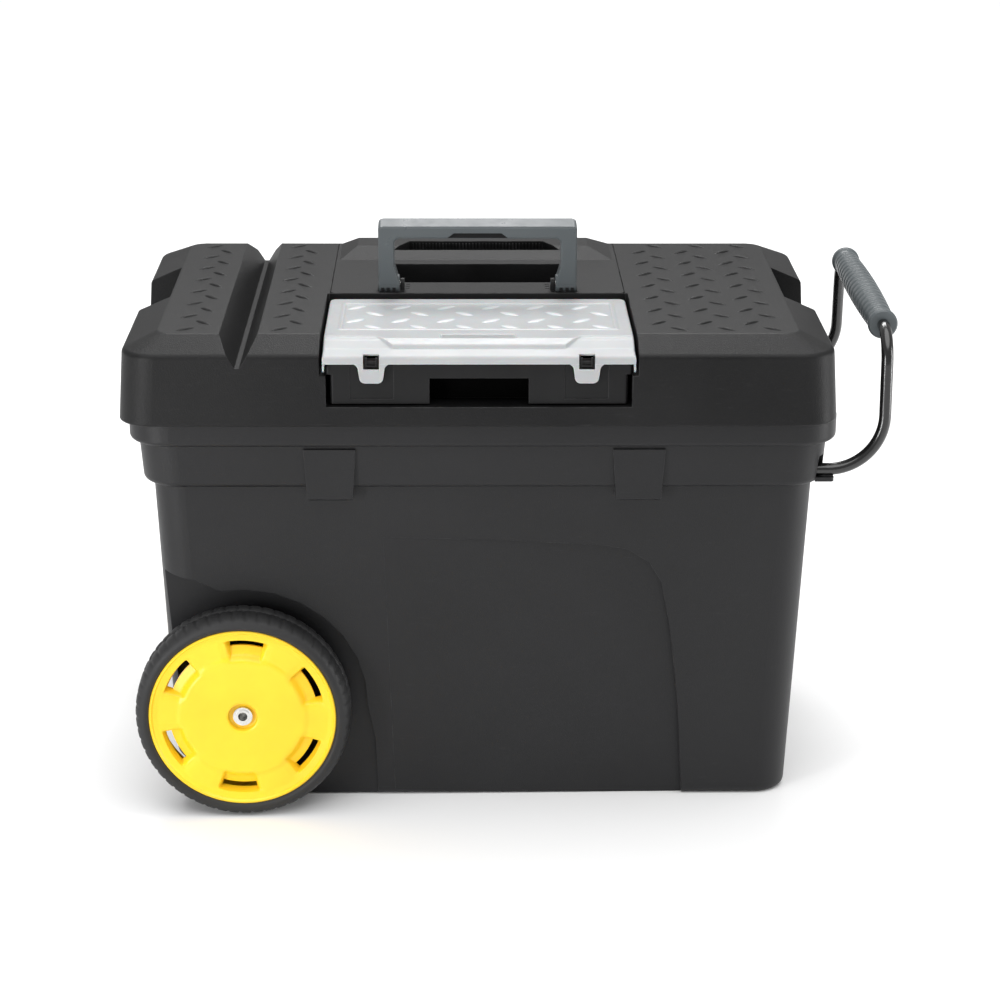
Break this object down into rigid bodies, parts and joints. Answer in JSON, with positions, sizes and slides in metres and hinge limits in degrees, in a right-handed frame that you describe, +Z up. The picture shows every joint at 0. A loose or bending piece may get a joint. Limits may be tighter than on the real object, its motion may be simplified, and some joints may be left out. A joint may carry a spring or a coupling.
{
  "type": "rolling tool box",
  "caption": "Rolling moulded tool box with a hinged lid, side wheels, pull bail, folding carry handle and a lift-out small-parts organiser in the lid.",
  "frame": {"origin": "on the floor, under the middle of the lid, on the chest's flat base", "axes": "+Z up, +X along the length towards the pull bail, -Y towards the front"},
  "size_m": [0.6313, 0.3738, 0.469],
  "materials": {
    "body_plastic": "fine moulded grain",
    "lid_plastic": "speckled moulded grain",
    "black_plastic": "satin",
    "grey_plastic": "satin",
    "frosted_cover": "frosted, translucent",
    "yellow_plastic": "satin gloss",
    "tyre_rubber": "moulded black",
    "bail_steel": "gloss black",
    "zinc_steel": "zinc plated"
  },
  "bodies": {
    "chest": {"body_shell": "body_plastic", "tote_tray": "black_plastic", "tote_handle": "grey_plastic", "axle": "zinc_steel", "axle_caps": "zinc_steel", "axle_bushes": "black_plastic", "axle_washers": "zinc_steel", "bail_sockets": "black_plastic", "bail_screws": "zinc_steel", "chest_hinge_knuckles": "black_plastic", "hinge_pins": "zinc_steel"},
    "lid": {"lid_shell": "lid_plastic", "lid_catches": "black_plastic", "lid_hinge_leaves": "black_plastic", "centre_panel": "lid_plastic", "panel_screws": "zinc_steel", "handle_pins": "zinc_steel"},
    "carry_handle": {"carry_handle": "grey_plastic"},
    "organiser": {"organiser_tray": "black_plastic", "organiser_dividers": "black_plastic", "cover_pins": "zinc_steel"},
    "organiser_cover": {"organiser_cover": "frosted_cover"},
    "bail": {"bail_rod": "bail_steel", "bail_grip": "grey_plastic"},
    "wheel_front": {"wheel_front_hub": "yellow_plastic", "wheel_front_tyre": "tyre_rubber"},
    "wheel_rear": {"wheel_rear_hub": "yellow_plastic", "wheel_rear_tyre": "tyre_rubber"}
  },
  "joints": [
    {"name": "lid_hinge", "type": "hinge", "parent": "chest", "child": "lid", "pos_m": [0, 0.182, 0.339], "axis": [-1, 0, 0], "range_deg": [0, 100]},
    {"name": "carry_handle_fold", "type": "hinge", "parent": "lid", "child": "carry_handle", "pos_m": [0, -0.014, 0.414], "axis": [-1, 0, 0], "range_deg": [0, 90]},
    {"name": "organiser_lift", "type": "slide", "parent": "lid", "child": "organiser", "axis": [0, 0, 1], "range_m": [0, 0.06]},
    {"name": "cover_hinge", "type": "hinge", "parent": "organiser", "child": "organiser_cover", "pos_m": [0, -0.0338, 0.399], "axis": [-1, 0, 0], "range_deg": [0, 80]},
    {"name": "bail_swing", "type": "hinge", "parent": "chest", "child": "bail", "pos_m": [0.262, 0, 0.2922], "axis": [0, -1, 0], "range_deg": [0, 10]},
    {"name": "wheel_front_spin", "type": "hinge", "parent": "chest", "child": "wheel_front", "pos_m": [-0.1948, -0.166, 0.089], "axis": [0, 1, 0], "continuous": true},
    {"name": "wheel_rear_spin", "type": "hinge", "parent": "chest", "child": "wheel_rear", "pos_m": [-0.1948, 0.166, 0.089], "axis": [0, 1, 0], "continuous": true}
  ]
}
